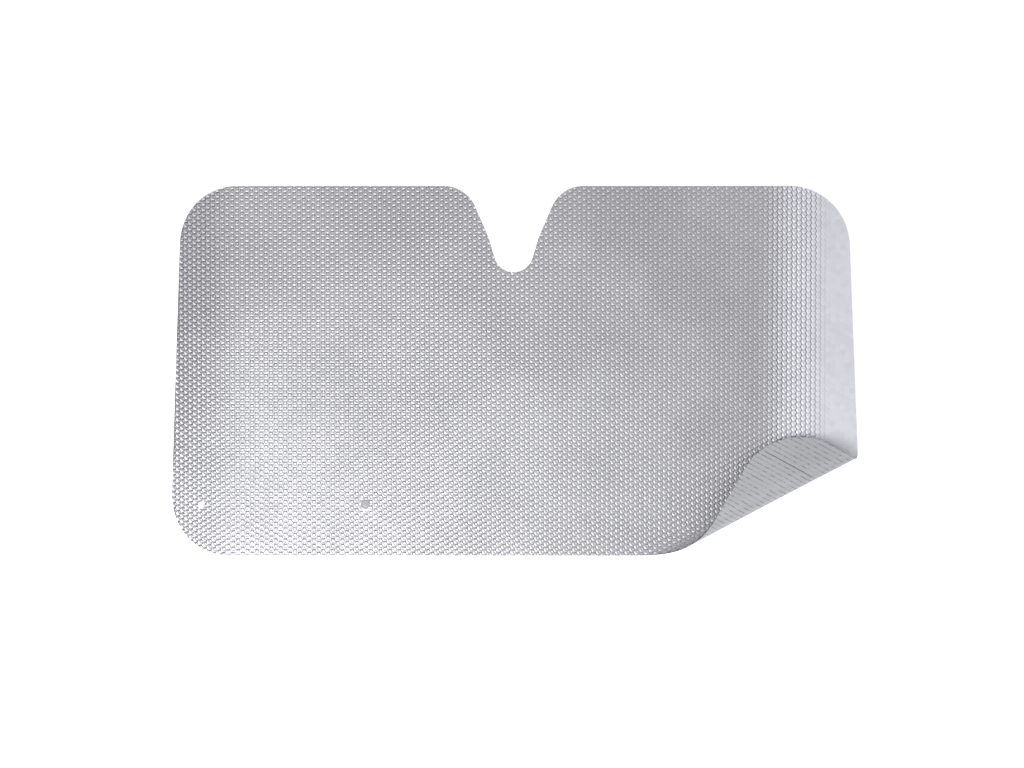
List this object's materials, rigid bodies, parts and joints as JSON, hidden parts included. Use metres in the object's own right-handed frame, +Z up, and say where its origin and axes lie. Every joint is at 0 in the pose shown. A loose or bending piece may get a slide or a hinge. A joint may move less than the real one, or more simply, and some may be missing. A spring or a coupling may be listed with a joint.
{
  "type": "car sunshade",
  "caption": "Roll-up windscreen sunshade of silver bubble film with a mirror notch, one lower corner folded over, a button hole and a closure stud.",
  "frame": {"origin": "on the floor under the middle of the lying shade", "axes": "+X along the width, +Y towards the edge with the mirror notch, +Z up from the film's back to its bubbles"},
  "size_m": [1.2914, 0.7, 0.0594],
  "materials": {
    "silver_film": "bright aluminised bubble film",
    "clear_plastic": "translucent"
  },
  "bodies": {
    "root": {"bubble_sheet": "silver_film", "stud_button": "clear_plastic", "stud_cap": "clear_plastic"}
  },
  "joints": []
}
